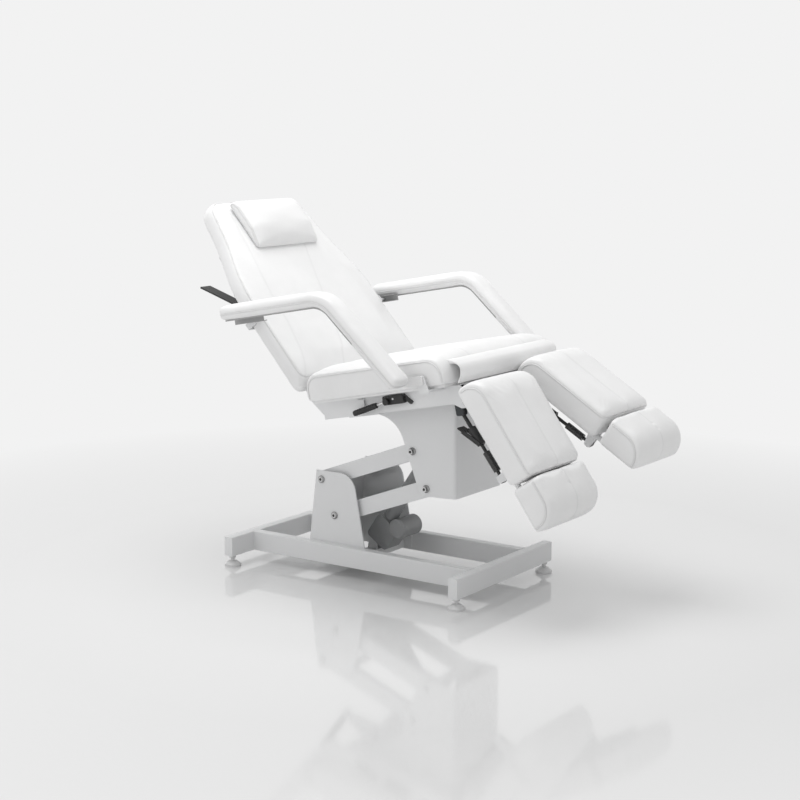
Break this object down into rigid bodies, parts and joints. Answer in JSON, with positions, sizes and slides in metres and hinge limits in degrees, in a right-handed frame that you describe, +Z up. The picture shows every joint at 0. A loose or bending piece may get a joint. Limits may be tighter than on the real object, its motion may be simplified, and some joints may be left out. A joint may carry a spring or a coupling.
{
  "type": "podiatry treatment chair",
  "caption": "Electric podiatry chair with parallelogram lift, tilting seat, reclining back, linked armrests and split leg rests with sliding foot rests.",
  "frame": {"origin": "on the floor, under the middle of the chair's box in the stored pose", "axes": "+X from the head end to the foot end, +Y across the chair to the side away from the release levers, +Z up"},
  "size_m": [1.3957, 0.822, 1.1145],
  "materials": {
    "frame_paint": "light grey powder coat, satin",
    "bright_steel": "bright zinc and ground rod",
    "black_plastic": "fine moulded texture",
    "spring_paint": "black enamel, satin",
    "foot_plastic": "pale moulded nylon, satin",
    "actuator_plastic": "mid grey, fine moulded texture",
    "board": "plywood with a dark backing cloth",
    "upholstery": "smooth white leatherette over foam"
  },
  "bodies": {
    "base": {"base_crossbar_front": "frame_paint", "base_crossbar_rear": "frame_paint", "base_rail_near": "frame_paint", "base_rail_far": "frame_paint", "actuator_mount": "frame_paint", "lift_tower": "frame_paint", "tower_pivot_shafts": "bright_steel"},
    "lower_arms": {"lower_arm_near": "frame_paint", "lower_arm_far": "frame_paint", "lower_arm_tubes": "frame_paint"},
    "upper_arms": {"upper_arm_near": "frame_paint", "upper_arm_far": "frame_paint", "upper_arm_tubes": "frame_paint"},
    "column": {"column_shell": "frame_paint", "column_pivot_shafts": "bright_steel"},
    "actuator_body": {"actuator_housing": "actuator_plastic"},
    "actuator_plunger": {"actuator_rod": "bright_steel"},
    "seat": {"seat_tray": "frame_paint", "seat_board": "board", "seat_cushion": "upholstery", "seat_front_flap": "upholstery", "leg_hinge_rod": "bright_steel", "leg_strut_brackets": "frame_paint", "release_block": "black_plastic"},
    "seat_lever": {"seat_release_lever": "black_plastic"},
    "tilt_spring_barrel": {"tilt_spring_cylinder": "spring_paint"},
    "tilt_spring_plunger": {"tilt_spring_rod": "bright_steel"},
    "back": {"back_bar_near": "frame_paint", "back_bar_far": "frame_paint", "back_cross_bar": "frame_paint", "back_board": "board", "back_cushion": "upholstery"},
    "back_lever": {"back_release_lever": "black_plastic"},
    "back_spring_barrel": {"back_spring_cylinder": "spring_paint"},
    "back_spring_plunger": {"back_spring_rod": "bright_steel"},
    "head_pillow": {"pillow": "upholstery"},
    "foot_front_near": {"levelling_foot_front_near": "foot_plastic"},
    "foot_front_far": {"levelling_foot_front_far": "foot_plastic"},
    "foot_rear_near": {"levelling_foot_rear_near": "foot_plastic"},
    "foot_rear_far": {"levelling_foot_rear_far": "foot_plastic"},
    "armrest_near": {"armrest_pad_near": "upholstery", "armrest_rail_near": "frame_paint"},
    "armrest_far": {"armrest_pad_far": "upholstery", "armrest_rail_far": "frame_paint"},
    "leg_rest_near": {"leg_cushion_near": "upholstery", "leg_frame_near": "frame_paint"},
    "foot_rest_near": {"foot_cushion_near": "upholstery", "foot_slide_near": "frame_paint"},
    "leg_strut_upper_near": {"leg_strut_rod_near": "black_plastic"},
    "leg_strut_lower_near": {"leg_strut_cylinder_near": "spring_paint"},
    "leg_paddle_near": {"leg_release_paddle_near": "black_plastic"},
    "leg_rest_far": {"leg_cushion_far": "upholstery", "leg_frame_far": "frame_paint"},
    "foot_rest_far": {"foot_cushion_far": "upholstery", "foot_slide_far": "frame_paint"},
    "leg_strut_upper_far": {"leg_strut_rod_far": "black_plastic"},
    "leg_strut_lower_far": {"leg_strut_cylinder_far": "spring_paint"},
    "leg_paddle_far": {"leg_release_paddle_far": "black_plastic"}
  },
  "joints": [
    {"name": "foot_front_near_adjust", "type": "slide", "parent": "base", "child": "foot_front_near", "axis": [0, 0, -1], "range_m": [0, 0.012]},
    {"name": "foot_front_far_adjust", "type": "slide", "parent": "base", "child": "foot_front_far", "axis": [0, 0, -1], "range_m": [0, 0.012]},
    {"name": "foot_rear_near_adjust", "type": "slide", "parent": "base", "child": "foot_rear_near", "axis": [0, 0, -1], "range_m": [0, 0.012]},
    {"name": "foot_rear_far_adjust", "type": "slide", "parent": "base", "child": "foot_rear_far", "axis": [0, 0, -1], "range_m": [0, 0.012]},
    {"name": "lift", "type": "hinge", "parent": "base", "child": "lower_arms", "pos_m": [-0.2472, 0, 0.1792], "axis": [0, -1, 0], "range_deg": [-18, 22]},
    {"name": "upper_arm_swing", "type": "hinge", "parent": "base", "child": "upper_arms", "pos_m": [-0.2959, 0, 0.2847], "axis": [0, -1, 0], "range_deg": [-18, 22]},
    {"name": "column_level", "type": "hinge", "parent": "lower_arms", "child": "column", "pos_m": [0.086, 0, 0.30312], "axis": [0, -1, 0], "range_deg": [-22, 18]},
    {"name": "actuator_swing", "type": "hinge", "parent": "base", "child": "actuator_body", "pos_m": [-0.1849, 0, 0.083], "axis": [0, -1, 0], "range_deg": [-13.43, 16.34]},
    {"name": "actuator_stroke", "type": "slide", "parent": "actuator_body", "child": "actuator_plunger", "axis": [0.5637, 0, 0.826], "range_m": [-0.0642, 0.07824]},
    {"name": "tilt", "type": "hinge", "parent": "column", "child": "seat", "pos_m": [0.0972, 0, 0.55992], "axis": [0, -1, 0], "range_deg": [-11.4, 13.6]},
    {"name": "tilt_spring_swing", "type": "hinge", "parent": "column", "child": "tilt_spring_barrel", "pos_m": [0.1472, 0, 0.43992], "axis": [0, -1, 0], "range_deg": [-4.66, 5.51]},
    {"name": "tilt_spring_stroke", "type": "slide", "parent": "tilt_spring_barrel", "child": "tilt_spring_plunger", "axis": [-0.7287, 0, 0.6848], "range_m": [-0.01386, 0.01178]},
    {"name": "seat_lever_pull", "type": "hinge", "parent": "seat", "child": "seat_lever", "pos_m": [0.0356, -0.256, 0.57198], "axis": [0, -1, 0], "range_deg": [-10, 0], "stiffness_Nm_per_rad": 2, "springref_deg": 8.59},
    {"name": "recline", "type": "hinge", "parent": "seat", "child": "back", "pos_m": [-0.26448, 0, 0.56115], "axis": [0, -1, 0], "range_deg": [-5, 60]},
    {"name": "back_spring_swing", "type": "hinge", "parent": "seat", "child": "back_spring_barrel", "pos_m": [-0.27647, -0.03, 0.48202], "axis": [0, -1, 0], "range_deg": [-4.85, 54.84]},
    {"name": "back_spring_stroke", "type": "slide", "parent": "back_spring_barrel", "child": "back_spring_plunger", "axis": [-0.5977, 0, 0.8017], "range_m": [-0.07635, 0.00728]},
    {"name": "back_lever_pull", "type": "hinge", "parent": "back", "child": "back_lever", "pos_m": [-0.5105, -0.058, 0.8109], "axis": [0, -1, 0], "range_deg": [-10, 0], "stiffness_Nm_per_rad": 5, "springref_deg": 11.46},
    {"name": "pillow_slide", "type": "slide", "parent": "back", "child": "head_pillow", "axis": [0.66, 0, -0.7513], "range_m": [-0.015, 0.06]},
    {"name": "armrest_near_swing", "type": "hinge", "parent": "seat", "child": "armrest_near", "pos_m": [0.19139, -0.316, 0.6544], "axis": [0, -1, 0], "range_deg": [-1.25, 11.7]},
    {"name": "armrest_far_swing", "type": "hinge", "parent": "seat", "child": "armrest_far", "pos_m": [0.19139, 0.316, 0.6544], "axis": [0, -1, 0], "range_deg": [-1.25, 11.7]},
    {"name": "leg_raise_near", "type": "hinge", "parent": "seat", "child": "leg_rest_near", "pos_m": [0.2868, -0.1665, 0.59101], "axis": [0, -1, 0], "range_deg": [-24.1, 22.9]},
    {"name": "foot_extend_near", "type": "slide", "parent": "leg_rest_near", "child": "foot_rest_near", "axis": [0.5807, 0, -0.8141], "range_m": [0, 0.08]},
    {"name": "leg_strut_near_swing", "type": "hinge", "parent": "seat", "child": "leg_strut_upper_near", "pos_m": [0.24194, -0.17999, 0.55544], "axis": [0, -1, 0], "range_deg": [-24.55, 23.34]},
    {"name": "leg_strut_near_stroke", "type": "slide", "parent": "leg_strut_upper_near", "child": "leg_strut_lower_near", "axis": [0.6104, 0, -0.7921], "range_m": [-0.02442, 0.02325]},
    {"name": "leg_paddle_press_near", "type": "hinge", "parent": "leg_strut_upper_near", "child": "leg_paddle_near", "pos_m": [0.30542, -0.17999, 0.47306], "axis": [0, 1, 0], "range_deg": [0, 8], "stiffness_Nm_per_rad": 2, "springref_deg": -8.59},
    {"name": "leg_raise_far", "type": "hinge", "parent": "seat", "child": "leg_rest_far", "pos_m": [0.2868, 0.1665, 0.59101], "axis": [0, -1, 0], "range_deg": [-47.1, 0]},
    {"name": "foot_extend_far", "type": "slide", "parent": "leg_rest_far", "child": "foot_rest_far", "axis": [0.8526, 0, -0.5225], "range_m": [-0.01, 0.07]},
    {"name": "leg_strut_far_swing", "type": "hinge", "parent": "seat", "child": "leg_strut_upper_far", "pos_m": [0.24194, 0.17999, 0.55544], "axis": [0, -1, 0], "range_deg": [-47.01, 0.3]},
    {"name": "leg_strut_far_stroke", "type": "slide", "parent": "leg_strut_upper_far", "child": "leg_strut_lower_far", "axis": [0.8627, 0, -0.5057], "range_m": [-0.04688, 0.001]},
    {"name": "leg_paddle_press_far", "type": "hinge", "parent": "leg_strut_upper_far", "child": "leg_paddle_far", "pos_m": [0.33166, 0.17999, 0.50284], "axis": [0, 1, 0], "range_deg": [0, 8], "stiffness_Nm_per_rad": 2, "springref_deg": -8.59}
  ],
  "couplings": [
    {"joint": "upper_arm_swing", "follows": "lift", "ratio": 1},
    {"joint": "column_level", "follows": "lift", "ratio": -1},
    {"joint": "actuator_swing", "follows": "lift", "ratio": 0.72929},
    {"joint": "actuator_stroke", "follows": "lift", "m_per_rad": 0.20116},
    {"joint": "tilt_spring_swing", "follows": "tilt", "ratio": 0.38277},
    {"joint": "tilt_spring_stroke", "follows": "tilt", "m_per_rad": -0.054192},
    {"joint": "back_spring_swing", "follows": "recline", "ratio": 0.90904},
    {"joint": "back_spring_stroke", "follows": "recline", "m_per_rad": -0.071953},
    {"joint": "armrest_near_swing", "follows": "recline", "ratio": 0.19},
    {"joint": "armrest_far_swing", "follows": "recline", "ratio": 0.19},
    {"joint": "leg_strut_near_swing", "follows": "leg_raise_near", "ratio": 1.0062},
    {"joint": "leg_strut_near_stroke", "follows": "leg_raise_near", "m_per_rad": 0.055671},
    {"joint": "leg_strut_far_swing", "follows": "leg_raise_far", "ratio": 0.99174},
    {"joint": "leg_strut_far_stroke", "follows": "leg_raise_far", "m_per_rad": 0.055815}
  ]
}
